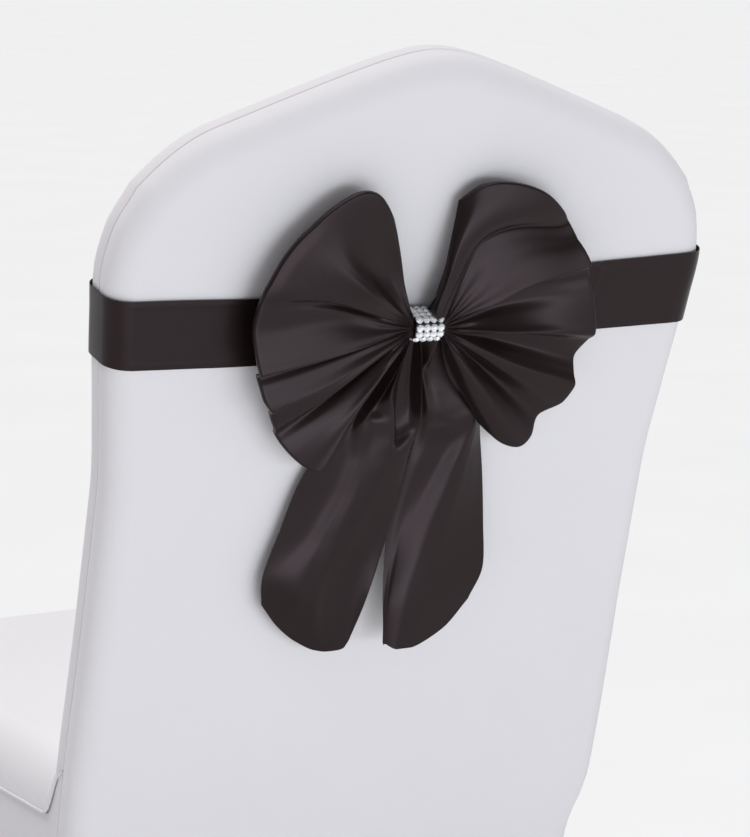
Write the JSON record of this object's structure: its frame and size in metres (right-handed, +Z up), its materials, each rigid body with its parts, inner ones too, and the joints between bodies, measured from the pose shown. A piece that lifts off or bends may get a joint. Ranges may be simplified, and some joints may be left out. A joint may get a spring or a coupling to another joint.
{
  "type": "chair cover with sash",
  "caption": "White stretch cover for a crown-backed banquet chair, with a black satin sash, a pleated bow, two tails and a rhinestone band.",
  "frame": {"origin": "on the floor, under the middle of the cover's box", "axes": "+X to the right seen from behind the chair, +Y towards the chair's front, +Z up"},
  "size_m": [0.426, 0.5485, 0.9123],
  "materials": {
    "white_stretch_knit": "smooth matt white polyester and elastane knit with a faint lavender cast",
    "black_satin": "brown-black coated satin with a soft purple-grey sheen",
    "rhinestone_mesh": "rows of round glass stones in bright silver cups"
  },
  "bodies": {
    "root": {"back_panel": "white_stretch_knit", "front_panel": "white_stretch_knit", "seat_panel": "white_stretch_knit", "side_skirt_left": "white_stretch_knit", "side_skirt_right": "white_stretch_knit", "front_skirt": "white_stretch_knit", "foot_pocket_rear_left": "white_stretch_knit", "foot_pocket_rear_right": "white_stretch_knit", "foot_pocket_front_left": "white_stretch_knit", "foot_pocket_front_right": "white_stretch_knit", "sash_band": "black_satin", "bow": "black_satin", "tail_left": "black_satin", "tail_right": "black_satin", "rhinestone_band": "rhinestone_mesh"}
  },
  "joints": []
}
